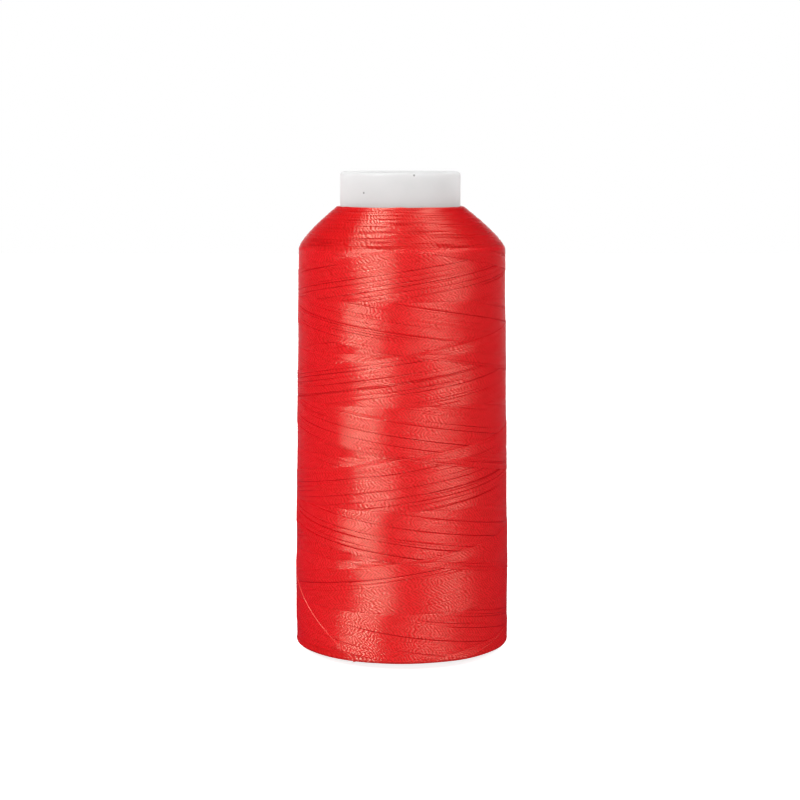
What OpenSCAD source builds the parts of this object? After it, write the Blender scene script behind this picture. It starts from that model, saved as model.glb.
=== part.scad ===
// Large cross-wound thread spool: a moulded tube, a snap-in base, the thread package wound on
// the tube and the loose end of the thread, which is held under the package by the base.
// Z is the spool's axis. The base stands on z = 0. -Y is the front and +X is to its right.

/* [Thread package] */
// Diameter of the package at its widest
package_d = 54.5; // [53:0.1:58]
// Height of the widest place
widest_z = 19; // [15:1:60]
// Diameter of the package where its shoulder begins
shoulder_d = 52.3; // [50:0.1:56]
// Diameter of the package at its foot
package_foot_d = 54.3; // [52:0.1:57]
// Height of the underside of the package
package_z = 1.7; // [1.7:0.1:3]
// Height at which the shoulder begins
shoulder_z = 102.5; // [95:0.1:106]
// Height at which the shoulder ends on the tube
shoulder_top_z = 113; // [110:0.1:116]
// Diameter of the package at the top of the shoulder
shoulder_top_d = 32; // [31.8:0.1:36]
// How round the shoulder is, where 1 is a straight cone
shoulder_bend = 1.3; // [1:0.01:1.6]
// Radius of the bottom edge
foot_edge = 0.9; // [0.5:0.1:1.5]

/* [Winding] */
// Height that the thread climbs in one turn
lay_pitch = 25.4; // [22:0.2:28]
// Height of the highest level border between falling threads below and rising ones above
border_top_z = 90.6; // [88:0.1:94]
// How far the newest threads stand proud of the oldest ones in view
lay_relief = 0.2; // [0.05:0.05:0.3]
// Turn at which the rising and the falling bands begin, from the front
lay_turn = 0; // [-180:1:180]

/* [Thread tail] */
// Diameter of the thread
thread_d = 0.3; // [0.2:0.05:0.3]
// Slope at which the tail comes down the package
tail_slope = 38.5; // [25:0.5:45]
// Angle from the front, to the right, at which the tail passes the bottom edge
tail_foot_turn = -29; // [-60:1:60]
// Angle from the front at which the tail leaves the winding
tail_start_turn = -150; // [-170:1:-100]

/* [Tube] */
// Outer diameter of the tube
tube_d = 30.3; // [30.2:0.1:31.2]
// Height of the tube's rim above the table
tube_top_z = 121.8; // [120:0.1:130]
// Diameter of the tube's bore at the base
tube_bore_d = 27.3; // [27:0.1:27.6]
// Diameter of the tube's bore at the rim, smaller by the mould's draft
tube_rim_bore_d = 26.8; // [26.4:0.1:27]
// Radius of the rim's outer edge
rim_edge = 1.1; // [0.4:0.1:1.2]

/* [Base] */
// Diameter of the foot
foot_d = 40; // [38:0.5:42]
// Thickness of the foot
foot_t = 1.2; // [1:0.1:1.2]
// How far the base pulls out of the tube
pull = 3; // [2:0.5:4]
// Diameter of the spindle bore
spindle_d = 10; // [8:0.5:11]
// Number of snap fingers
fingers = 6; // [4:1:8]

/* [Hidden] */
$fn = 96;

// Running fit of the base's sleeve in the tube, on the radius
fit = 0.08;
// Gap between the tube's end and the foot, which the thread is pinched in
seat_gap = 0.1;
tube_r = tube_d / 2;
bore_r = tube_bore_d / 2;
rim_bore_r = tube_rim_bore_d / 2;
tube_z = foot_t + seat_gap;
edge_steps = 6;

// The base: foot, sleeve with barbs, and a hub on ribs
foot_r = foot_d / 2;
foot_ring_w = 2.8;
foot_recess = 0.4;
foot_chamfer = 0.3;
sleeve_r = bore_r - fit;
sleeve_wall = 1.4;
sleeve_bore_r = sleeve_r - sleeve_wall;
sleeve_top_z = 12.2;
barb_z = 9.4;
barb_h = 1.2;
barb_depth = 0.45;
web_top_z = 1.8;
hub_r = spindle_d / 2 + 1.7;
hub_top_z = 12;
hub_draft = 0.2;
hub_lead = 0.5;
rib_t = 1.2;
rib_top_z = 6;
slot_w = 2.2;
slot_z = 3.4;

// The groove in the tube's bore, in which the barbs travel
groove_r = bore_r + 0.75;
groove_z = barb_z - pull - 0.05;
groove_top_z = barb_z + barb_h + 0.3;
bore_straight_z = 16;
bore_lead = 0.5;
tail_notches = 6;
notch_w = 1.2;
notch_h = 1;

// Grip rings round the tube, which hold the first layer of thread
grip_rings = 10;
grip_h = 0.12;
grip_w = 1;
grip_z = 8;
grip_step = 10;

// The package: rings of points, columns round and rows up the outside. The flats of its bore
// touch the tube.
columns = 48;
package_bore_r = tube_r / cos(180 / columns);
cells = 8;
half_pitch = lay_pitch / 2;
tent_min = 0.05;
tent_step = 0.12;
shoulder_rows = [0.08, 0.2, 0.35, 0.5, 0.65, 0.8, 1];
edge_rows = [0, 30, 60];

// The tail
tail_sides = 8;
tail_steps = 44;
tail_edge_turns = [0, 30, 60, 90];
tail_sunk = 0.4;
tail_sink_steps = 4;
tail_end_r = tube_r - 0.9;

function place(r, turn, z) = [r * sin(turn), -r * cos(turn), z];

// Radius of the package at a height on its straight part
function side_r(z) = lookup(z, [
    [package_z, package_foot_d / 2],
    [widest_z, package_d / 2],
    [shoulder_z, shoulder_d / 2]
]);

// Height of the border below a cell, where equally old rising and falling threads meet
function border_z(k) = max(
    package_z + foot_edge,
    min(shoulder_z, border_top_z - (cells - 1 - k) * half_pitch)
);

// Share of a full turn from where a cell's wedge of rising threads begins, half a turn on in
// every other cell
function cell_turn(k, turn) = let (t = (turn - lay_turn) / 360 + (k % 2) / 2) t - floor(t);

// The wedge of rising threads grows from nothing to the whole cell and back in one turn
function tent(t) = tent_min + (1 - 2 * tent_min) * 2 * min(t, 1 - t);

// Age of the top thread, from 0 for the newest to 1: on the border, and below and above the
// edge of the wedge
function border_age(t) = t;
function wedge_age(t) = max(0, 2 * t - 1);
function over_age(t) = t < 0.5 ? 2 * t : 0;

function lay_r(z, age) = side_r(z) - lay_relief * age;

function border_point(k, turn) = let (z = border_z(k))
    place(lay_r(z, border_age(cell_turn(k, turn))), turn, z);

function wedge_z(k, turn) =
    border_z(k) + (border_z(k + 1) - border_z(k)) * tent(cell_turn(k, turn));

function wedge_point(k, turn) = let (z = wedge_z(k, turn))
    place(lay_r(z, wedge_age(cell_turn(k, turn))), turn, z);

function over_point(k, turn) = let (z = wedge_z(k, turn) + tent_step)
    place(lay_r(z, over_age(cell_turn(k, turn))), turn, z);

function shoulder_r(f) =
    shoulder_d / 2 - (shoulder_d - shoulder_top_d) / 2 * pow(f, shoulder_bend);

// Every ring of points, from the bottom of the bore round the outside to the top of the bore
function turns() = [for (i = [0 : columns - 1]) i * 360 / columns];
function plain_ring(r, z) = [for (turn = turns()) place(r, turn, z)];

function package_rings() = concat(
    [plain_ring(package_bore_r, package_z)],
    [for (a = edge_rows) plain_ring(
        package_foot_d / 2 - foot_edge * (1 - sin(a)),
        package_z + foot_edge * (1 - cos(a)))],
    [for (k = [0 : cells - 1]) each [
        [for (turn = turns()) border_point(k, turn)],
        [for (turn = turns()) wedge_point(k, turn)],
        [for (turn = turns()) over_point(k, turn)]
    ]],
    [plain_ring(shoulder_d / 2, shoulder_z)],
    [for (f = shoulder_rows) plain_ring(
        shoulder_r(f),
        shoulder_z + f * (shoulder_top_z - shoulder_z))],
    [plain_ring(package_bore_r, shoulder_top_z)]
);

// Points of rings as one list, and the faces between each ring and the next
function flat(rings) = [for (ring = rings) each ring];

function band_faces(i, j, n) = [for (k = [0 : n - 1]) each [
    [i * n + k, j * n + k, i * n + (k + 1) % n],
    [j * n + k, j * n + (k + 1) % n, i * n + (k + 1) % n]
]];

module thread_package() {
    rings = package_rings();
    count = len(rings);
    color("crimson")
    polyhedron(
        flat(rings),
        [for (i = [0 : count - 1]) each band_faces(i, (i + 1) % count, columns)],
        convexity = 6
    );
}

// The tail's route: down the package on a straight slope, round the bottom edge, and in
// under the package to the notch in the tube's end
tail_r = thread_d / 2;
tail_top_z = package_z + foot_edge;
function tail_z(turn) = tail_top_z
    + tan(tail_slope) * package_foot_d / 2 * (tail_foot_turn - turn) * PI / 180;
function tail_sink(i) = tail_sunk * max(0, 1 - i / tail_sink_steps);
function tail_side(i) = let (
    turn = tail_start_turn + (tail_foot_turn - tail_start_turn) * i / tail_steps,
    z = tail_z(turn)
) place(side_r(z) + tail_r - tail_sink(i), turn, z);

tail_route = concat(
    [for (i = [0 : tail_steps - 1]) tail_side(i)],
    [for (a = tail_edge_turns) place(
        package_foot_d / 2 - foot_edge + (foot_edge + tail_r) * cos(a),
        tail_foot_turn,
        tail_top_z - (foot_edge + tail_r) * sin(a))],
    [for (r = [foot_r + 2, foot_r - 2, tube_r + 1, tail_end_r])
        place(r, tail_foot_turn, package_z - tail_r)]
);

function unit(v) = v / norm(v);
function heading(i, route) = let (last = len(route) - 1)
    unit(route[min(i + 1, last)] - route[max(i - 1, 0)]);

// A ring round the route, turned about the radius from the spool's axis
function tail_ring(i, route) = let (
    along = heading(i, route),
    across = unit(cross(along, [route[i].x, route[i].y, route[i].z - tube_top_z])),
    up = cross(across, along)
) [for (k = [0 : tail_sides - 1]) let (a = k * 360 / tail_sides)
    route[i] + tail_r * (cos(a) * across + sin(a) * up)];

module thread_tail() {
    count = len(tail_route);
    rings = [for (i = [0 : count - 1]) tail_ring(i, tail_route)];
    color("tomato")
    polyhedron(
        flat(rings),
        concat(
            [[for (k = [tail_sides - 1 : -1 : 0]) k]],
            [for (i = [0 : count - 2]) each [for (face = band_faces(i, i + 1, tail_sides))
                [face[0], face[2], face[1]]]],
            [[for (k = [0 : tail_sides - 1]) (count - 1) * tail_sides + k]]
        )
    );
}

// A quarter circle from straight up the outside to flat across the top
function rim_arc() = [for (i = [0 : edge_steps]) let (a = i * 90 / edge_steps)
    [tube_r - rim_edge * (1 - cos(a)), tube_top_z - rim_edge * (1 - sin(a))]];

module tube_wall() {
    rotate_extrude()
        polygon(concat(
            [[bore_r + bore_lead, tube_z], [tube_r, tube_z]],
            rim_arc(),
            [
                [rim_bore_r + bore_lead, tube_top_z],
                [rim_bore_r, tube_top_z - bore_lead],
                [bore_r, bore_straight_z],
                [bore_r, groove_top_z],
                [groove_r, groove_top_z],
                [groove_r, groove_z],
                [bore_r, groove_z],
                [bore_r, tube_z + bore_lead]
            ]
        ));
}

module tube_grip() {
    for (i = [0 : grip_rings - 1])
        translate([0, 0, grip_z + i * grip_step])
            difference() {
                cylinder(r = tube_r + grip_h, h = grip_w);
                translate([0, 0, -1])
                    cylinder(r = tube_r - 0.3, h = grip_w + 2);
            }
}

module core_tube() {
    color("whitesmoke")
    difference() {
        union() {
            tube_wall();
            tube_grip();
        }
        for (i = [0 : tail_notches - 1])
            rotate([0, 0, tail_foot_turn - 90 + i * 360 / tail_notches])
                translate([bore_r - 1, -notch_w / 2, tube_z - 1])
                    cube([tube_r - bore_r + 2, notch_w, notch_h + 1]);
    }
}

module base_body() {
    rotate_extrude()
        polygon([
            [spindle_d / 2 + hub_lead, foot_recess],
            [foot_r - foot_ring_w, foot_recess],
            [foot_r - foot_ring_w, 0],
            [foot_r - foot_chamfer, 0],
            [foot_r, foot_chamfer],
            [foot_r, foot_t - foot_chamfer],
            [foot_r - foot_chamfer, foot_t],
            [sleeve_r, foot_t],
            [sleeve_r, barb_z],
            [sleeve_r + barb_depth, barb_z],
            [sleeve_r + barb_depth, barb_z + barb_h / 2],
            [sleeve_r, barb_z + barb_h],
            [sleeve_r - foot_chamfer, sleeve_top_z],
            [sleeve_bore_r, sleeve_top_z],
            [sleeve_bore_r, web_top_z],
            [hub_r, web_top_z],
            [hub_r - hub_draft, hub_top_z],
            [spindle_d / 2, hub_top_z],
            [spindle_d / 2, foot_recess + hub_lead]
        ]);
}

module base_ribs() {
    for (i = [0 : fingers - 1])
        rotate([0, 0, (i + 0.5) * 360 / fingers])
            translate([hub_r - 1, -rib_t / 2, foot_recess])
                cube([sleeve_bore_r - hub_r + 1.5, rib_t, rib_top_z - foot_recess]);
}

module finger_slots() {
    for (i = [0 : fingers - 1])
        rotate([0, 0, i * 360 / fingers])
            translate([sleeve_bore_r - 1, -slot_w / 2, slot_z])
                cube([sleeve_wall + barb_depth + 2, slot_w, sleeve_top_z]);
}

module snap_base() {
    color("white")
    difference() {
        union() {
            base_body();
            base_ribs();
        }
        finger_slots();
    }
}

snap_base();
core_tube();
thread_package();
thread_tail();
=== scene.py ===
import math

import bmesh
import bpy
import numpy as np
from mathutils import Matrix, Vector


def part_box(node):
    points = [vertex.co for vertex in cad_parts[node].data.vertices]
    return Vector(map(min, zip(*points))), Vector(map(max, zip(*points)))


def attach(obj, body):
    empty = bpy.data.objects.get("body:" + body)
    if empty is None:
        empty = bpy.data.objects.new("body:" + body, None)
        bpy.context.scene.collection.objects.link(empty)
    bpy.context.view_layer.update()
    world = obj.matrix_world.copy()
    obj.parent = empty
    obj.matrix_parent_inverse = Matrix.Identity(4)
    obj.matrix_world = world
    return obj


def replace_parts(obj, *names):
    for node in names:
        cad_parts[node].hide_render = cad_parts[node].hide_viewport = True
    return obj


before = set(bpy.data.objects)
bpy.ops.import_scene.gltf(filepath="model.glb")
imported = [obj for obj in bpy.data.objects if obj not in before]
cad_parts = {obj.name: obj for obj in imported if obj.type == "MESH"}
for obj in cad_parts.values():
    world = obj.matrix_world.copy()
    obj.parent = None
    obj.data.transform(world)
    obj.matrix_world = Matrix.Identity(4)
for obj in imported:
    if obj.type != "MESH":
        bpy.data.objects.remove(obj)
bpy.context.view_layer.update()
mm = 0.001
scene = bpy.context.scene


# ---------- camera: a long lens, a little above the rim and looking slightly down
cameraView = {
    "distance": 512 * mm,     # from the spool's axis
    "height": 126.7 * mm,
    "sideways": -0.07 * mm,
    "pitch": 7.0,             # degrees below level
    "lens": 91.1,             # on the sensor below
    "sensor": 36.0,
}


def placeCamera(view):
    camData = bpy.data.cameras.new("camera")
    camData.sensor_width = view["sensor"]
    camData.lens = view["lens"]
    camera = bpy.data.objects.new("camera", camData)
    camera.location = (view["sideways"], -view["distance"], view["height"])
    camera.rotation_euler = (math.radians(90 - view["pitch"]), 0, 0)
    scene.collection.objects.link(camera)
    scene.camera = camera


placeCamera(cameraView)
print("camera placed")


# ---------- the outline of the thread package, shared by everything that is wound on it
packageLow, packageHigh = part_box("thread_package")
outline = {
    "footZ": packageLow.z,
    "topZ": packageHigh.z,
    "footRadius": 27.15 * mm,
    "footEdge": 0.9 * mm,     # radius of the bottom edge
    "widestZ": 19 * mm,
    "widestRadius": 27.25 * mm,
    "shoulderZ": 102.5 * mm,
    "shoulderRadius": 26.15 * mm,
    "topRadius": 16 * mm,
    "shoulderBend": 1.3,      # 1 is a straight cone
    "tubeRadius": 15.15 * mm,
    "aside": 0.4 * mm,        # of the package's middle from the tube's, to the right
}


def sideRadius(z):
    return np.interp(
        z,
        [outline["footZ"], outline["widestZ"], outline["shoulderZ"]],
        [outline["footRadius"], outline["widestRadius"], outline["shoulderRadius"]],
    )


def shoulderShare(z):
    return np.clip((z - outline["shoulderZ"]) / (outline["topZ"] - outline["shoulderZ"]), 0, 1)


def outerRadius(z):
    drop = outline["shoulderRadius"] - outline["topRadius"]
    return sideRadius(z) - drop * shoulderShare(z) ** outline["shoulderBend"]


def offAxis(z):
    # the package is centred on the tube at the top of its shoulder alone
    return outline["aside"] * (1 - shoulderShare(z))


# ---------- how the thread lies: rising and falling helices, newest on top
lay = {
    "pitch": 25.45 * mm,        # height that a thread climbs in one turn
    "borderZ": 90.6 * mm,       # a level border with falling threads below it and rising ones above
    "threads": 80,              # of each family, in one pitch
    "threadDepth": 0.065 * mm,  # from a crest to the valley beside it
    "relief": 0.2 * mm,         # how far the oldest threads in view lie below the newest
    "dip": 0.17 * mm,           # how far a family ducks where it is the older one
    "borderSoftness": 0.015,    # difference in age over which the families change places
    "unevenness": 0.012 * mm,   # of one thread's height against the next
    "wander": 0.04 * mm,        # of a thread up and down
    "firstTurn": -5,            # where the random values begin, in turns up from the level border
    "turns": 6,                 # that they cover
    "knots": 10,                # random values in one turn
    "steps": 96,                # round one turn
    "sectors": 8,               # that share them
    "sharpAngle": 50,           # degrees between faces, from which an edge is sharp
    "seed": 11,
}
spacing = lay["pitch"] / lay["threads"]
gapLook = {
    "depth": 0.4 * mm,
    "widening": 0.06 * mm,
    "reach": 0.22,              # to each side, in threads
    "shade": 1.1,
    "chanceShape": 0.3,         # of the gaps that come by chance, as shares of the depth
    "chanceScale": 0.3,
    "chanceOffset": 0.2,
    "chanceMost": 0.6,
}
# gaps between threads: their share of the pitch, their depth, and where they begin and end,
# in turns up from the level border
gaps = {
    1: [
        (0.29, 0.7, -0.1, 0.5),
        (0.15, 0.9, -0.2, 0.3),
        (0.10, 0.4, -0.1, 0.1),
        (0.04, 0.5, 0, 0.3),
        (0.45, 0.4, -0.8, -0.5),
        (0.41, 0.8, -0.8, -0.5),
        (0.31, 0.5, -0.9, -0.6),
        (0.24, 0.8, -1.1, -0.6),
        (0.22, 0.5, -1.1, -0.7),
        (0.12, 0.6, -1.2, -0.7),
        (0.38, 0.5, -1.9, -1.5),
        (0.23, 0.5, -2, -1.6),
        (0.14, 1.0, -2.1, -1.6),
        (0.08, 0.7, -2.1, -1.6),
        (0.97, 0.5, -2.2, -1.8),
        (0.37, 0.8, -2.9, -2.5),
        (0.34, 0.4, -2.8, -2.5),
        (0.12, 0.6, -3.5, -3.2),
    ],
    -1: [
        (0.98, 0.7, -0.4, 0.1),
        (0.70, 0.9, -0.4, 0),
        (0.67, 0.5, -0.3, 0),
        (0.49, 0.8, -0.7, -0.3),
        (0.45, 0.5, -0.8, -0.4),
        (0.85, 0.7, -1.4, -1),
        (0.71, 0.9, -1.5, -1.1),
        (0.62, 0.5, -1.5, -1.1),
        (0.49, 0.8, -1.7, -1.3),
        (0.37, 0.6, -1.7, -1.4),
        (0.97, 0.7, -2.4, -1.9),
        (0.84, 0.8, -2.4, -1.9),
        (0.72, 0.5, -2.5, -2),
        (0.68, 1.0, -2.5, -2),
        (0.56, 0.9, -2.6, -2.1),
        (0.49, 0.5, -2.6, -2.2),
        (0.40, 0.6, -2.7, -2.3),
        (0.46, 0.8, -2.9, -2.5),
        (0.10, 0.6, -3.3, -2.9),
        (0.04, 0.5, -3.4, -3),
        (0.93, 0.7, -3.5, -3.1),
        (0.79, 0.8, -3.5, -3.1),
    ],
}


def turnOf(co):
    return np.arctan2(co[:, 0], -co[:, 1]) / (2 * math.pi)


def ages(turn, z):
    climb = (z - lay["borderZ"]) / lay["pitch"]
    rising = np.mod(turn - climb - 0.5, 1)
    falling = np.mod(turn + climb + 0.5, 1)
    return {1: rising, -1: falling}


def ridgeOutline(bm, radius, z, width, depth):
    # one thread's rounded back, from valley to valley, as an open line at the back of the spool
    across = (-1, -0.62, 0, 0.62, 1)
    verts = [
        bm.verts.new((0, radius - depth * (1 - math.sqrt(1 - a * a)), z + (a + 1) / 2 * width))
        for a in across
    ]
    for lower, upper in zip(verts, verts[1:]):
        bm.edges.new((lower, upper))


def sweptRidges(radius, lowest, width, depth, count, climb, steps):
    # ridges stacked up one line, then swept once round the axis
    bm = bmesh.new()
    ridgeOutline(bm, radius, lowest, width, depth)
    bmesh.ops.spin(
        bm, geom=bm.verts[:] + bm.edges[:], cent=(0, 0, 0), axis=(0, 0, 1),
        dvec=(0, 0, width), angle=0, steps=count - 1, use_duplicate=True,
    )
    bmesh.ops.remove_doubles(bm, verts=bm.verts[:], dist=width * 0.01)
    # one sector is swept, then repeated, which is far quicker than one long sweep
    sectors = lay["sectors"]
    bmesh.ops.spin(
        bm, geom=bm.verts[:] + bm.edges[:], cent=(0, 0, 0), axis=(0, 0, 1),
        dvec=(0, 0, climb / steps), angle=2 * math.pi / sectors, steps=steps // sectors,
    )
    bmesh.ops.spin(
        bm, geom=bm.verts[:] + bm.edges[:] + bm.faces[:], cent=(0, 0, 0), axis=(0, 0, 1),
        dvec=(0, 0, climb / sectors), angle=2 * math.pi * (sectors - 1) / sectors,
        steps=sectors - 1, use_duplicate=True,
    )
    bmesh.ops.remove_doubles(bm, verts=bm.verts[:], dist=width * 0.01)
    return bm


def ridgedSleeve(direction, lowZ, highZ, radius, width, depth, steps):
    climb = direction * lay["pitch"]
    # valleys lie at whole threads from the level border
    startZ = lay["borderZ"] + math.floor((lowZ - max(climb, 0) - lay["borderZ"]) / width) * width
    endZ = highZ - min(climb, 0)
    count = math.ceil((endZ - startZ) / width)
    bm = sweptRidges(radius, startZ, width, depth, count, climb, steps)
    for z, normal in ((lowZ, 1), (highZ, -1)):
        bmesh.ops.bisect_plane(
            bm, geom=bm.verts[:] + bm.edges[:] + bm.faces[:], dist=1e-7,
            plane_co=(0, 0, z), plane_no=(0, 0, normal), clear_inner=True,
        )
    bmesh.ops.recalc_face_normals(bm, faces=bm.faces[:])
    return bm


def toObject(bm, name, material):
    mesh = bpy.data.meshes.new(name)
    bm.to_mesh(mesh)
    bm.free()
    obj = bpy.data.objects.new(name, mesh)
    scene.collection.objects.link(obj)
    mesh.materials.append(material)
    mesh.shade_smooth()
    return obj


def readCo(mesh):
    co = np.empty(len(mesh.vertices) * 3)
    mesh.vertices.foreach_get("co", co)
    return co.reshape(-1, 3)


def writeCo(mesh, co):
    mesh.vertices.foreach_set("co", co.ravel())
    mesh.update()


def threadUv(mesh, direction, radius, width, lowest):
    # u runs along the threads in millimetres, v counts threads upwards
    co = readCo(mesh)
    corners = np.empty(len(mesh.loops), dtype=np.int32)
    mesh.loops.foreach_get("vertex_index", corners)
    sizes = np.empty(len(mesh.polygons), dtype=np.int32)
    mesh.polygons.foreach_get("loop_total", sizes)
    face = np.repeat(np.arange(len(sizes)), sizes)
    turn = turnOf(co)[corners]
    x = np.bincount(face, co[corners, 0]) / sizes
    y = np.bincount(face, co[corners, 1]) / sizes
    middle = (np.arctan2(x, -y) / (2 * math.pi))[face]
    turn = turn + np.round(middle - turn)
    v = (co[corners, 2] - direction * lay["pitch"] * turn - lowest) / width
    # a thread that comes round again goes on where it left off
    rounds = np.floor((np.bincount(face, v) / sizes)[face] / lay["threads"])
    uv = np.empty((len(corners), 2))
    uv[:, 0] = (turn + direction * rounds) * 2 * math.pi * radius / mm
    uv[:, 1] = v
    layer = mesh.uv_layers.new(name="thread")
    layer.data.foreach_set("uv", uv.ravel())


def markHollows(mesh, values):
    attribute = mesh.attributes.new("hollow", "FLOAT", "POINT")
    attribute.data.foreach_set("value", values)


def smoothRead(table, row, place):
    # row by row random values, read with smooth steps from one to the next
    knot = np.floor(place).astype(int)
    share = place - knot
    share = share * share * (3 - 2 * share)
    columns = table.shape[1]
    return table[row, knot % columns] * (1 - share) + table[row, (knot + 1) % columns] * share


# ---------- materials
def newMaterial(name):
    material = bpy.data.materials.new(name)
    material.use_nodes = True
    nodes = material.node_tree.nodes
    return material, nodes, material.node_tree.links, nodes["Principled BSDF"]


def mathNode(nodes, links, operation, *inputs):
    node = nodes.new("ShaderNodeMath")
    node.operation = operation
    for socket, value in zip(node.inputs, inputs):
        if isinstance(value, (int, float)):
            socket.default_value = value
        else:
            links.new(value, socket)
    return node.outputs[0]


threadLook = {
    "red": (0.92, 0.004, 0.014, 1),
    "deepRed": (0.62, 0.0002, 0.001, 1),
    "plyGlintAndShade": 1.1,         # of the colour's change from the middle of a ply to its edges: painted glint on the middle, painted shade at the edges
    "edgeGain": 1.6,          # how quickly a ply's edge comes on
    "edgeStart": 0.5,
    "edgeMiddle": 0.4,        # share of edge that leaves the colour as it is
    "driftShare": 0.5,        # of the colour's change, along a thread
    "hollowShade": 0.25,      # in the gaps between threads
    "roughness": 0.26,
    "anisotropic": 0.8,
    "anisotropicTurn": 0.25,
    "ior": 1.86,
    "specular": 0.95,
    "glint": (1, 0.92, 0.7, 1),
    "sheen": 0.22,
    "sheenRoughness": 0.3,
    "sheenColor": (1, 0.09, 0.2, 1),
    "plyLength": 0.95,        # millimetres along the thread from one ply to the next
    "plySlant": 0.1,
    "plyShift": 0.45,         # from a thread to the next one
    "plyStray": 2.5,          # slow change of that, in plies
    "strayPatch": 5,          # millimetres, and threads, over which it changes
    "plyTilt": (0.18, 0.23),  # of the surface along and across the thread
    "fuzzTilt": (0.07, 0.1),  # the same, by chance
    "fuzzSize": (0.58, 1.1),  # in millimetres along the thread and in threads across
    "edgeFuzz": 1.2,          # how much chance has to say in where the edges of plies lie
    "edgeDull": 0.5,          # share of the gloss that is lost there
    "patchLength": 2.2,       # millimetres over which the colour drifts
    "patchWidth": 0.14,       # threads over which it drifts
}


def threadMaterial(name, look):
    material, nodes, links, shader = newMaterial(name)

    def calc(operation, *inputs):
        return mathNode(nodes, links, operation, *inputs)

    def vector(x, y):
        node = nodes.new("ShaderNodeCombineXYZ")
        links.new(x, node.inputs["X"])
        links.new(y, node.inputs["Y"])
        return node

    def slowNoise(sideways, length, width, detail):
        noise = nodes.new("ShaderNodeTexNoise")
        noise.noise_dimensions = "2D"
        noise.inputs["Scale"].default_value = 1
        noise.inputs["Detail"].default_value = detail
        where = vector(calc("DIVIDE", along, length), calc("DIVIDE", sideways, width))
        links.new(where.outputs[0], noise.inputs["Vector"])
        return noise

    uv = nodes.new("ShaderNodeUVMap")
    uv.uv_map = "thread"
    split = nodes.new("ShaderNodeSeparateXYZ")
    links.new(uv.outputs["UV"], split.inputs[0])
    along, across = split.outputs[0], split.outputs[1]
    thread = calc("FLOORED_MODULO", calc("FLOOR", across), lay["threads"])

    # the plies: rounded lobes that lie slanted across the thread
    slanted = calc("MULTIPLY", calc("FRACT", across), look["plySlant"])
    place = calc("ADD", calc("DIVIDE", along, look["plyLength"]), slanted)
    place = calc("MULTIPLY_ADD", thread, look["plyShift"], place)
    stray = slowNoise(thread, look["strayPatch"], look["strayPatch"], 1).outputs["Fac"]
    place = calc("MULTIPLY_ADD", stray, look["plyStray"], place)
    lean = calc("MULTIPLY_ADD", calc("FRACT", place), 2, -1)
    # fibres that lie as they please
    fuzz = slowNoise(calc("FLOORED_MODULO", across, lay["threads"]), *look["fuzzSize"], 0)
    chances = nodes.new("ShaderNodeSeparateColor")
    links.new(fuzz.outputs["Color"], chances.inputs[0])
    normalColor = nodes.new("ShaderNodeCombineXYZ")
    for axis, (tilt, byChance) in enumerate(zip(look["plyTilt"], look["fuzzTilt"])):
        value = calc("MULTIPLY_ADD", chances.outputs[axis], byChance, 0.5 - byChance / 2)
        links.new(calc("MULTIPLY_ADD", lean, tilt / 2, value), normalColor.inputs[axis])
    normalColor.inputs["Z"].default_value = 1
    normal = nodes.new("ShaderNodeNormalMap")
    normal.uv_map = "thread"
    links.new(normalColor.outputs[0], normal.inputs["Color"])
    links.new(normal.outputs["Normal"], shader.inputs["Normal"])

    # colour: lighter on the back of each ply and darker at its edges, as painted glint and painted
    # shade; uneven from ply to ply and along the thread
    patches = slowNoise(thread, look["patchLength"], look["patchWidth"], 1).outputs["Fac"]
    drift = calc("MULTIPLY_ADD", patches, 2, -1)
    factor = calc("MULTIPLY_ADD", drift, look["driftShare"], 0.5)
    edgeBase = -look["edgeStart"] - look["edgeFuzz"] / 2
    edge = calc("MULTIPLY_ADD", calc("ABSOLUTE", lean), look["edgeGain"], edgeBase)
    edge = calc("MULTIPLY_ADD", chances.outputs[2], look["edgeFuzz"], edge)
    edge = calc("MINIMUM", calc("MAXIMUM", edge, 0), 1)
    # painted glint on the back of each ply, painted shade at its edges
    factor = calc("MULTIPLY_ADD", calc("SUBTRACT", look["edgeMiddle"], edge), look["plyGlintAndShade"], factor)
    mix = nodes.new("ShaderNodeMix")
    mix.data_type = "RGBA"
    mix.clamp_factor = True
    mix.inputs["A"].default_value = look["deepRed"]
    mix.inputs["B"].default_value = look["red"]
    links.new(factor, mix.inputs["Factor"])
    hollow = nodes.new("ShaderNodeAttribute")
    hollow.attribute_name = "hollow"
    shade = nodes.new("ShaderNodeVectorMath")
    shade.operation = "SCALE"
    links.new(mix.outputs["Result"], shade.inputs[0])
    shading = calc("MULTIPLY_ADD", hollow.outputs["Fac"], -look["hollowShade"], 1)
    links.new(shading, shade.inputs["Scale"])
    links.new(shade.outputs[0], shader.inputs["Base Color"])
    dull = calc("MAXIMUM", calc("MULTIPLY", edge, look["edgeDull"]), hollow.outputs["Fac"])
    specular = calc("MULTIPLY_ADD", dull, -look["specular"], look["specular"])
    links.new(specular, shader.inputs["Specular IOR Level"])

    tangent = nodes.new("ShaderNodeTangent")
    tangent.direction_type = "UV_MAP"
    tangent.uv_map = "thread"
    links.new(tangent.outputs[0], shader.inputs["Tangent"])
    shader.inputs["Roughness"].default_value = look["roughness"]
    shader.inputs["IOR"].default_value = look["ior"]
    shader.inputs["Specular IOR Level"].default_value = look["specular"]
    shader.inputs["Specular Tint"].default_value = look["glint"]
    shader.inputs["Anisotropic"].default_value = look["anisotropic"]
    shader.inputs["Anisotropic Rotation"].default_value = look["anisotropicTurn"]
    shader.inputs["Sheen Weight"].default_value = look["sheen"]
    shader.inputs["Sheen Roughness"].default_value = look["sheenRoughness"]
    shader.inputs["Sheen Tint"].default_value = look["sheenColor"]
    return material


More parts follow.
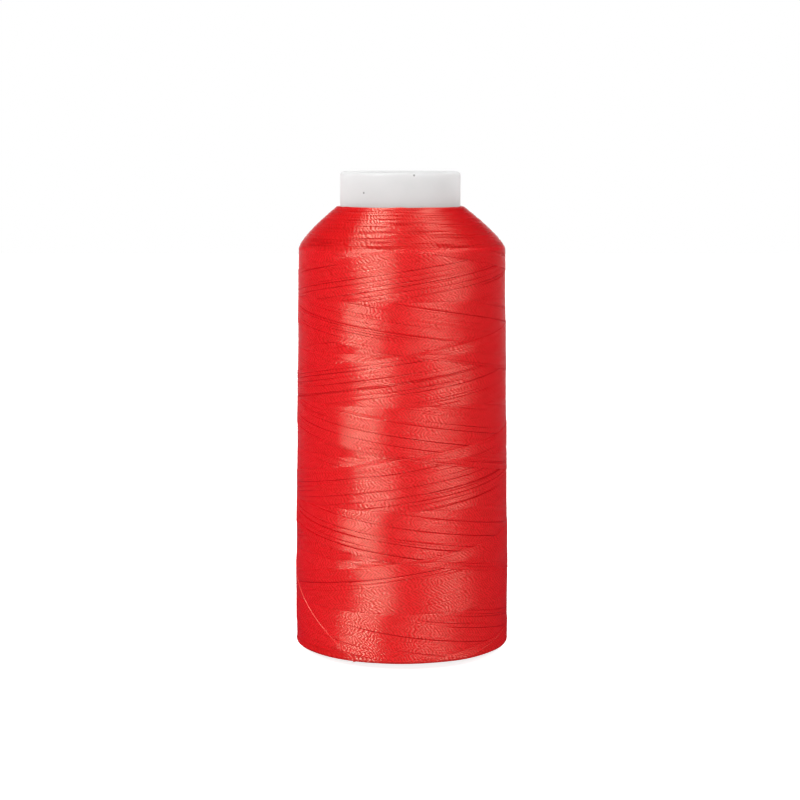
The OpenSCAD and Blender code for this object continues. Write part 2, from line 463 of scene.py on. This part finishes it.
plasticLook = {
    "color": (0.76, 0.76, 0.755, 1),
    "cloudColor": (0.72, 0.725, 0.72, 1),
    "cloudSize": 6 * mm,
    "roughness": 0.45,
    "sheen": 0.5,
    "sheenRoughness": 0.6,
    "depth": 20 * mm,         # that light gets into it
    "grainScale": 900,
    "grainStrength": 0.2,
    "grainDepth": 0.02 * mm,
    "speckColor": (0.25, 0.25, 0.24, 1),
    "speckSize": 0.35 * mm,
    "specks": [(-36.4, 116.6 * mm), (12.9, 120.9 * mm)],  # turn in degrees, height
}


def plasticMaterial(name, look, specks):
    material, nodes, links, shader = newMaterial(name)
    shader.inputs["Roughness"].default_value = look["roughness"]
    noise = nodes.new("ShaderNodeTexNoise")
    coord = nodes.new("ShaderNodeTexCoord")
    links.new(coord.outputs["Object"], noise.inputs["Vector"])
    noise.inputs["Scale"].default_value = look["grainScale"]
    bump = nodes.new("ShaderNodeBump")
    bump.inputs["Strength"].default_value = look["grainStrength"]
    bump.inputs["Distance"].default_value = look["grainDepth"]
    links.new(noise.outputs["Fac"], bump.inputs["Height"])
    links.new(bump.outputs["Normal"], shader.inputs["Normal"])
    # slightly cloudy, with dust specks that were moulded in
    clouds = nodes.new("ShaderNodeTexNoise")
    clouds.inputs["Scale"].default_value = 1 / look["cloudSize"]
    links.new(coord.outputs["Object"], clouds.inputs["Vector"])
    mix = nodes.new("ShaderNodeMix")
    mix.data_type = "RGBA"
    mix.inputs["A"].default_value = look["cloudColor"]
    mix.inputs["B"].default_value = look["color"]
    links.new(clouds.outputs["Fac"], mix.inputs["Factor"])
    for turn, z in specks:
        away = nodes.new("ShaderNodeVectorMath")
        away.operation = "DISTANCE"
        turn = math.radians(turn)
        radius = outline["tubeRadius"]
        away.inputs[1].default_value = (radius * math.sin(turn), -radius * math.cos(turn), z)
        links.new(coord.outputs["Object"], away.inputs[0])
        fade = nodes.new("ShaderNodeMapRange")
        fade.inputs["From Min"].default_value = look["speckSize"] / 2
        fade.inputs["From Max"].default_value = look["speckSize"]
        links.new(away.outputs["Value"], fade.inputs["Value"])
        speck = nodes.new("ShaderNodeMix")
        speck.data_type = "RGBA"
        speck.inputs["A"].default_value = look["speckColor"]
        links.new(mix.outputs["Result"], speck.inputs["B"])
        links.new(fade.outputs["Result"], speck.inputs["Factor"])
        mix = speck
    links.new(mix.outputs["Result"], shader.inputs["Base Color"])
    shader.inputs["Subsurface Weight"].default_value = 1
    shader.inputs["Subsurface Radius"].default_value = (1, 1, 1)
    shader.inputs["Subsurface Scale"].default_value = look["depth"]
    shader.inputs["Sheen Weight"].default_value = look["sheen"]
    shader.inputs["Sheen Roughness"].default_value = look["sheenRoughness"]
    return material


redThread = threadMaterial("redThread", threadLook)
# on the shoulder and the foot the turns crowd together as seen, so the plies shift less; their red is
# darker, a painted shade that holds back the light falling on the shoulder from above
levelLook = dict(threadLook, plyLength=1.2, plyShift=0.27, red=(0.81, 0.004, 0.01, 1))
levelThread = threadMaterial("levelThread", levelLook)
# the loose end has its plies as real shapes; its red is lighter and pinker than the winding's, a
# painted highlight for the light that it catches
looseHighlightLook = dict(
    threadLook,
    plyTilt=(0, 0),
    fuzzTilt=(0, 0),
    red=(1, 0.08, 0.07, 1),
    deepRed=(1, 0.06, 0.05, 1),
)
looseThreadPaintedHighlight = threadMaterial("looseThreadPaintedHighlight", looseHighlightLook)
tubePlastic = plasticMaterial("tubePlastic", plasticLook, plasticLook["specks"])
basePlastic = plasticMaterial("basePlastic", plasticLook, [])
for nodeName, material in (("core_tube", tubePlastic), ("snap_base", basePlastic)):
    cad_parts[nodeName].data.materials.clear()
    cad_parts[nodeName].data.materials.append(material)
print("materials made")


# ---------- the two families of threads on the side of the package
def windFamily(name, direction, lowZ, highZ):
    bm = ridgedSleeve(
        direction, lowZ, highZ, outline["widestRadius"], spacing, lay["threadDepth"], lay["steps"]
    )
    obj = toObject(bm, name, redThread)
    mesh = obj.data
    threadUv(mesh, direction, outline["widestRadius"], spacing, lay["borderZ"])
    co = readCo(mesh)
    turn = turnOf(co)
    radius = np.hypot(co[:, 0], co[:, 1])
    z = co[:, 2]
    climb = (z - lay["borderZ"]) / lay["pitch"]

    # which thread, and how far from the valley next to it
    number = lay["threads"] * (climb - direction * turn)
    valley = np.round(number).astype(int)
    aside = number - valley
    above = valley % lay["threads"]
    below = (valley - 1) % lay["threads"]
    rng = np.random.default_rng(lay["seed"] + direction)
    knots = lay["knots"]
    size = (lay["threads"], lay["turns"] * knots)
    heights = rng.normal(0, lay["unevenness"], size)
    shifts = rng.normal(0, lay["wander"], size)
    chance = rng.gamma(gapLook["chanceShape"], gapLook["chanceScale"], size) - gapLook["chanceOffset"]
    depths = gapLook["depth"] * np.clip(chance, 0, gapLook["chanceMost"])
    opened = np.arange(lay["turns"] * knots) / knots + lay["firstTurn"]
    for share, depth, start, end in gaps[direction]:
        row = round(share * lay["threads"]) % lay["threads"]
        depths[row, (opened > start) & (opened < end)] = gapLook["depth"] * depth
    place = (climb - lay["firstTurn"]) * knots
    uneven = (
        smoothRead(heights, below, place) * (0.5 - aside)
        + smoothRead(heights, above, place) * (0.5 + aside)
    )
    gap = smoothRead(depths, above, place)
    newZ = z + smoothRead(shifts, above, place) * (1 - abs(aside))
    newZ += np.sign(aside) * gapLook["widening"] * gap / gapLook["depth"] * (1 - abs(aside))
    inSide = np.clip(np.minimum(z - lowZ, highZ - z) / spacing, 0, 1)
    gap = gap * np.clip(1 - abs(aside) / gapLook["reach"], 0, 1)
    markHollows(mesh, np.clip(gap / gapLook["depth"] * gapLook["shade"], 0, 1))

    age = ages(turn, z)
    older = age[direction] - age[-direction]
    under = np.clip(0.5 + older / lay["borderSoftness"], 0, 1)
    newRadius = (
        outerRadius(z) + radius - outline["widestRadius"]
        - lay["relief"] * age[direction]
        - lay["dip"] * under
        + uneven
        - gap
    )
    co[:, 0] *= newRadius / radius
    co[:, 1] *= newRadius / radius
    co[:, 2] = z + (newZ - z) * inSide
    co[:, 0] += offAxis(co[:, 2])
    writeCo(mesh, co)
    mesh.set_sharp_from_angle(angle=math.radians(lay["sharpAngle"]))
    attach(obj, "package")
    return obj


windings = []
sideLow, sideHigh = 2.4 * mm, 103.6 * mm
halfHeight = 52 * mm
for direction, family in ((1, "rising"), (-1, "falling")):
    windings.append(windFamily(family + "_threads_lower", direction, sideLow, halfHeight))
    windings.append(windFamily(family + "_threads_upper", direction, halfHeight, sideHigh))
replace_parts(windings[0], "thread_package")
print("side wound:", [len(o.data.polygons) for o in windings])


# ---------- shoulder and foot: nearly level turns
levelLay = {
    "gapShape": 0.7,
    "gapOffset": 0.2,         # share of the depth that chance has to pass
    "gapMost": 0.28 * mm,
    "gapReach": 0.25,         # to each side, in threads
    "gapShaded": 0.2 * mm,    # depth from which a gap is fully shaded
    "workRadius": 50 * mm,    # of the sleeve, before it is laid along its path
    "probe": 0.1 * mm,        # step along the path that gives its direction
}
shoulder = {
    "width": 0.3 * mm,
    "depth": 0.08 * mm,
    "steps": 160,
    "seed": 5,
    "knots": 30,              # random values round one turn
    "unevenness": 0.04 * mm,
    "gapDepth": 0.15 * mm,
    "bundle": 2,              # threads that drift together
    "bends": 16,              # of a bundle, round one turn
    "drift": 0.06 * mm,
    "startZ": 101.4 * mm,
    "inset": 0.5 * mm,        # of its beginning, under the threads of the side
    "insetFade": 5,
    "slopeShare": 0.9,        # of the way, before it goes level from the edge to the tube
    "intoTube": 0.1 * mm,
}
foot = {
    "width": 0.3 * mm,
    "depth": 0.09 * mm,
    "steps": 128,
    "seed": 8,
    "knots": 20,
    "unevenness": 0.03 * mm,
    "gapDepth": 0.05 * mm,
    "bundle": 4,
    "bends": 6,
    "drift": 0.2 * mm,
    "side": 1.2 * mm,         # length on the side, above the bottom edge
    "inset": 0.1 * mm,
}


def levelTurns(name, path, look):
    # path gives radius and height for a share of the way
    points = np.array([path(share) for share in np.linspace(0, 1, 200)])
    lengths = np.concatenate([[0], np.cumsum(np.hypot(*np.diff(points, axis=0).T))])
    count = math.ceil(lengths[-1] / look["width"])
    width = lengths[-1] / count
    base = levelLay["workRadius"]
    bm = sweptRidges(base, 0, width, look["depth"], count, 0, look["steps"])
    bmesh.ops.recalc_face_normals(bm, faces=bm.faces[:])
    obj = toObject(bm, name, levelThread)
    mesh = obj.data
    threadUv(mesh, 0, outline["widestRadius"], width, 0)
    co = readCo(mesh)
    turn = turnOf(co)
    around = np.hypot(co[:, 0], co[:, 1])
    number = co[:, 2] / width
    valley = np.round(number).astype(int)
    aside = number - valley
    above = np.clip(valley, 0, count - 1)
    below = np.clip(valley - 1, 0, count - 1)
    rng = np.random.default_rng(look["seed"])
    knots = look["knots"]
    heights = rng.normal(0, look["unevenness"], (count, knots))
    chance = rng.gamma(levelLay["gapShape"], look["gapDepth"], (count, knots))
    depths = np.clip(chance - levelLay["gapOffset"] * look["gapDepth"], 0, levelLay["gapMost"])
    drifts = rng.normal(0, look["drift"], (math.ceil(count / look["bundle"]) + 2, look["bends"]))
    place = turn % 1 * knots
    uneven = (
        smoothRead(heights, below, place) * (0.5 - aside)
        + smoothRead(heights, above, place) * (0.5 + aside)
    )
    gap = smoothRead(depths, above, place) * np.clip(1 - abs(aside) / levelLay["gapReach"], 0, 1)
    markHollows(mesh, np.clip(gap / levelLay["gapShaded"], 0, 1))
    bundle = number / look["bundle"]
    lower = np.floor(bundle).astype(int)
    share = bundle - lower
    bend = turn % 1 * look["bends"]
    drift = smoothRead(drifts, lower, bend) * (1 - share)
    drift += smoothRead(drifts, lower + 1, bend) * share
    ends = np.clip(np.minimum(number, count - number) / look["bundle"], 0, 1)
    along = np.clip(co[:, 2] + drift * ends, 0, lengths[-1])

    radius = np.interp(along, lengths, points[:, 0])
    z = np.interp(along, lengths, points[:, 1])
    ahead = np.minimum(along + levelLay["probe"], lengths[-1])
    behind = np.maximum(along - levelLay["probe"], 0)
    dr = np.interp(ahead, lengths, points[:, 0]) - np.interp(behind, lengths, points[:, 0])
    dz = np.interp(ahead, lengths, points[:, 1]) - np.interp(behind, lengths, points[:, 1])
    size = np.hypot(dr, dz)
    off = around - base + uneven - gap
    radius = radius + off * dz / size
    co[:, 0] *= radius / around
    co[:, 1] *= radius / around
    co[:, 2] = z - off * dr / size
    co[:, 0] += offAxis(co[:, 2])
    writeCo(mesh, co)
    mesh.set_sharp_from_angle(angle=math.radians(lay["sharpAngle"]))
    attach(obj, "package")


def shoulderPath(share):
    slopeShare = shoulder["slopeShare"]
    if share > slopeShare:
        level = [outline["topRadius"], outline["tubeRadius"] - shoulder["intoTube"]]
        return np.interp(share, [slopeShare, 1], level), outline["topZ"]
    share /= slopeShare
    z = shoulder["startZ"] + share * (outline["topZ"] - shoulder["startZ"])
    inset = shoulder["inset"] * max(0, 1 - share * shoulder["insetFade"])
    return float(outerRadius(np.array(z))) - inset, z


def footPath(share):
    edge = outline["footEdge"]
    side = foot["side"]
    under = outline["footRadius"] - edge - outline["tubeRadius"]
    total = side + edge * math.pi / 2 + under
    length = (1 - share) * total
    if length < side:
        return outline["footRadius"] - foot["inset"], outline["footZ"] + edge + side - length
    length -= side
    if length < edge * math.pi / 2:
        a = length / edge
        return (
            outline["footRadius"] - edge * (1 - math.cos(a)),
            outline["footZ"] + edge * (1 - math.sin(a)),
        )
    return outline["footRadius"] - edge - (length - edge * math.pi / 2), outline["footZ"]


levelTurns("shoulder_threads", shoulderPath, shoulder)
levelTurns("foot_threads", footPath, foot)
print("shoulder and foot wound")


# ---------- the loose end: two plies twisted together, laid over the winding
tail = {
    "slope": 34,              # degrees
    "footTurn": -26.5,        # degrees from the front, where it goes under the bottom edge
    "startTurn": -150,
    "plyRadius": 0.09 * mm,
    "corners": 12,            # of the two plies' outline
    "waist": 0.62,            # half of its width between the plies, in ply radii
    "lobe": 1.3,              # by how much more it is wide across both
    "lobeSharpness": 1.5,
    "twistLength": 1.6 * mm,  # one whole twist
    "clear": 1.1,             # ply radii from the winding to the tail's middle
    "bedded": 0.24 * mm,      # into the winding under it
    "step": 0.11 * mm,
    "sunk": 0.5 * mm,         # into the winding at its beginning
    "sinkLength": 6 * mm,
    "intoTube": 0.7 * mm,
    "threadShare": 0.3,       # of one thread's width in the material that it shows
    "probe": 0.1 * mm,        # step along the path that gives its direction
    "weld": 0.004 * mm,
}


def onPackage(turn, z, lift):
    # a point that far off the side or the bottom edge, and the direction outwards
    edge = outline["footEdge"]
    below = outline["footZ"] + edge - z
    a = math.asin(min(max(below / edge, 0), 1))
    radius = float(sideRadius(z)) - edge * (1 - math.cos(a)) + lift * math.cos(a)
    x, y = math.sin(turn), -math.cos(turn)
    point = (radius * x, radius * y, z - lift * math.sin(a))
    return point, (x * math.cos(a), y * math.cos(a), -math.sin(a))


def tailPath():
    # the middle of the tail and the direction away from the winding, step by step
    slope = math.tan(math.radians(tail["slope"]))
    edge = outline["footEdge"]
    lift = tail["plyRadius"] * tail["clear"]
    bottom = outline["footZ"] + edge
    start, end = math.radians(tail["startTurn"]), math.radians(tail["footTurn"])
    path = []
    for turn in np.linspace(start, end, 400):
        gone = (turn - start) * outline["footRadius"] / math.cos(math.radians(tail["slope"]))
        sunk = tail["sunk"] * max(0, 1 - gone / tail["sinkLength"]) ** 2
        z = bottom + slope * outline["footRadius"] * (end - turn)
        path.append(onPackage(turn, z, lift - tail["bedded"] - sunk))
    for a in np.linspace(0, math.pi / 2, 12)[1:]:
        path.append(onPackage(end, bottom - edge * math.sin(a), lift))
    tubeSide = outline["tubeRadius"] - tail["intoTube"]
    for radius in np.linspace(outline["footRadius"] - edge, tubeSide, 40)[1:]:
        under = (radius * math.sin(end), -radius * math.cos(end), outline["footZ"] - lift)
        path.append((under, (0, 0, -1)))
    return path


def layStrand(name, path, material):
    points = np.array([point for point, outward in path])
    points[:, 0] += offAxis(points[:, 2])
    outwards = np.array([outward for point, outward in path])
    lengths = np.concatenate([[0], np.cumsum(np.linalg.norm(np.diff(points, axis=0), axis=1))])
    total = lengths[-1]
    ply = tail["plyRadius"]
    bm = bmesh.new()
    ring = []
    for k in range(tail["corners"]):
        a = 2 * math.pi * k / tail["corners"]
        reach = ply * (tail["waist"] + tail["lobe"] * abs(math.cos(a)) ** tail["lobeSharpness"])
        ring.append(bm.verts.new((0, reach * math.cos(a), reach * math.sin(a))))
    for a, b in zip(ring, ring[1:] + ring[:1]):
        bm.edges.new((a, b))
    # one twist is swept, then repeated
    once = int(round(tail["twistLength"] / tail["step"]))
    repeats = int(total / tail["twistLength"])
    bmesh.ops.spin(
        bm, geom=bm.verts[:] + bm.edges[:], cent=(0, 0, 0), axis=(1, 0, 0),
        dvec=(tail["twistLength"] / once, 0, 0), angle=2 * math.pi, steps=once,
    )
    bmesh.ops.spin(
        bm, geom=bm.verts[:] + bm.edges[:] + bm.faces[:], cent=(0, 0, 0), axis=(1, 0, 0),
        dvec=(tail["twistLength"], 0, 0), angle=0, steps=repeats - 1, use_duplicate=True,
    )
    bmesh.ops.remove_doubles(bm, verts=bm.verts[:], dist=tail["weld"])
    bmesh.ops.holes_fill(bm, edges=[e for e in bm.edges if e.is_boundary], sides=tail["corners"])
    bmesh.ops.recalc_face_normals(bm, faces=bm.faces[:])
    obj = toObject(bm, name, material)
    mesh = obj.data
    co = readCo(mesh)
    along = co[:, 0] * total / co[:, 0].max()

    def read(values, places):
        return np.stack([np.interp(places, lengths, values[:, axis]) for axis in range(3)], axis=1)

    def unit(vectors):
        return vectors / np.linalg.norm(vectors, axis=1)[:, None]

    away = unit(read(outwards, along))
    forward = unit(read(points, along + tail["probe"]) - read(points, along - tail["probe"]))
    side = np.cross(forward, away)
    corners = np.empty(len(mesh.loops), dtype=np.int32)
    mesh.loops.foreach_get("vertex_index", corners)
    uv = np.empty((len(corners), 2))
    uv[:, 0] = along[corners] / mm
    uv[:, 1] = 0.5 + tail["threadShare"] * co[corners, 1] / (2 * ply)
    layer = mesh.uv_layers.new(name="thread")
    layer.data.foreach_set("uv", uv.ravel())
    writeCo(mesh, read(points, along) + away * co[:, 1:2] + side * co[:, 2:3])
    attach(obj, "package")
    return obj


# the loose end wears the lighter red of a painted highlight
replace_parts(layStrand("thread_tail_strand", tailPath(), looseThreadPaintedHighlight), "thread_tail")

# the newest rising turn at the foot, which stands a little clear of the rest
newest = {
    "fromTurn": 36,           # degrees
    "fromPlace": -3.48,       # turns up from the level border
    "toTurn": 76,
    "toPlace": -3.29,
    "lift": 0.01 * mm,
    "dive": 0.25 * mm,
}


def newestPath():
    path = []
    for share in np.linspace(0, 1, 60):
        turn = math.radians(newest["fromTurn"] + share * (newest["toTurn"] - newest["fromTurn"]))
        place = newest["fromPlace"] + share * (newest["toPlace"] - newest["fromPlace"])
        z = lay["borderZ"] + lay["pitch"] * place
        sunk = newest["dive"] * (2 * share - 1) ** 6
        path.append(onPackage(turn, z, newest["lift"] - sunk))
    return path


layStrand("newest_turn", newestPath(), redThread)
print("tail and newest turn laid")


# ---------- floor, surroundings and lamps
studio = {
    "floorSize": 4.0,
    "floorColor": 0.8,
    "floorRoughness": 0.9,
    "whiteFrom": (0.5, 1.2),  # distance behind the spool over which a reflected floor turns white
    "whiteShare": 0.85,       # of the floor's own white, seen by the camera and in reflections
    "worldStrength": 0.6,
    "roomFrom": (0.93, 1),    # the same for the room, as a direction, where 1 is straight back
    "roomBrightness": 0.005,  # of the room on the camera's side, seen in reflections
    "aimHeight": 60 * mm,     # of the point that the lamps are turned to
    "key": {"turn": -40, "rise": 33, "distance": 0.9, "size": 0.24, "power": 3.6},
    "fill": {"turn": 54, "rise": 42, "distance": 1.0, "size": 0.56, "power": 2.8},
    "top": {"turn": -50, "rise": 68, "distance": 0.9, "size": 0.18, "power": 1.7},
}


def areaLamp(name, turn, rise, distance, size, power):
    data = bpy.data.lights.new(name, "AREA")
    data.shape = "DISK"
    data.size = size
    data.energy = power
    lamp = bpy.data.objects.new(name, data)
    target = Vector((0, 0, studio["aimHeight"]))
    turn, rise = math.radians(turn), math.radians(rise)
    level = math.cos(rise)
    away = Vector((math.sin(turn) * level, -math.cos(turn) * level, math.sin(rise)))
    lamp.location = target + distance * away
    lamp.rotation_euler = away.to_track_quat("Z", "Y").to_euler()
    scene.collection.objects.link(lamp)


def whiteSeen(nodes, links, behind):
    # 1 for the camera, through glass, and in a reflection of what lies behind the spool
    path = nodes.new("ShaderNodeLightPath")
    camera, glass = path.outputs["Is Camera Ray"], path.outputs["Is Transmission Ray"]
    clear = mathNode(nodes, links, "MAXIMUM", camera, glass)
    mirrored = mathNode(nodes, links, "MULTIPLY", path.outputs["Is Glossy Ray"], behind)
    return mathNode(nodes, links, "MAXIMUM", clear, mirrored), path


def layFloor():
    bm = bmesh.new()
    bmesh.ops.create_grid(bm, x_segments=1, y_segments=1, size=studio["floorSize"] / 2)
    material, nodes, links, shader = newMaterial("floorPaper")
    shader.inputs["Roughness"].default_value = studio["floorRoughness"]
    shader.inputs["Emission Color"].default_value = (1, 1, 1, 1)
    coord = nodes.new("ShaderNodeTexCoord")
    split = nodes.new("ShaderNodeSeparateXYZ")
    links.new(coord.outputs["Object"], split.inputs[0])
    behind = nodes.new("ShaderNodeMapRange")
    behind.inputs["From Min"].default_value = studio["whiteFrom"][0]
    behind.inputs["From Max"].default_value = studio["whiteFrom"][1]
    links.new(split.outputs["Y"], behind.inputs["Value"])
    seen, path = whiteSeen(nodes, links, behind.outputs["Result"])
    strength = mathNode(nodes, links, "MULTIPLY", seen, studio["whiteShare"])
    links.new(strength, shader.inputs["Emission Strength"])
    dark = mathNode(nodes, links, "SUBTRACT", 1, behind.outputs["Result"])
    dark = mathNode(nodes, links, "MULTIPLY", dark, path.outputs["Is Glossy Ray"])
    paper = mathNode(nodes, links, "MULTIPLY_ADD", dark, -studio["floorColor"], studio["floorColor"])
    links.new(paper, shader.inputs["Base Color"])
    floor = toObject(bm, "floor", material)


def setWorld():
    world = bpy.data.worlds.new("surroundings")
    scene.world = world
    world.use_nodes = True
    nodes, links = world.node_tree.nodes, world.node_tree.links
    background = nodes["Background"]
    background.inputs["Color"].default_value = (1, 1, 1, 1)
    coord = nodes.new("ShaderNodeTexCoord")
    split = nodes.new("ShaderNodeSeparateXYZ")
    links.new(coord.outputs["Generated"], split.inputs[0])
    behind = nodes.new("ShaderNodeMapRange")
    behind.inputs["From Min"].default_value = studio["roomFrom"][0]
    behind.inputs["From Max"].default_value = studio["roomFrom"][1]
    behind.inputs["To Min"].default_value = studio["roomBrightness"]
    links.new(split.outputs["Y"], behind.inputs["Value"])
    seen, path = whiteSeen(nodes, links, behind.outputs["Result"])
    isDiffuse = path.outputs["Is Diffuse Ray"]
    diffuse = mathNode(nodes, links, "MULTIPLY", isDiffuse, studio["worldStrength"])
    links.new(mathNode(nodes, links, "MAXIMUM", seen, diffuse), background.inputs["Strength"])


layFloor()
setWorld()
for lampName in ("key", "fill", "top"):
    areaLamp(lampName, **studio[lampName])
scene.view_settings.view_transform = "Standard"
print("studio set")
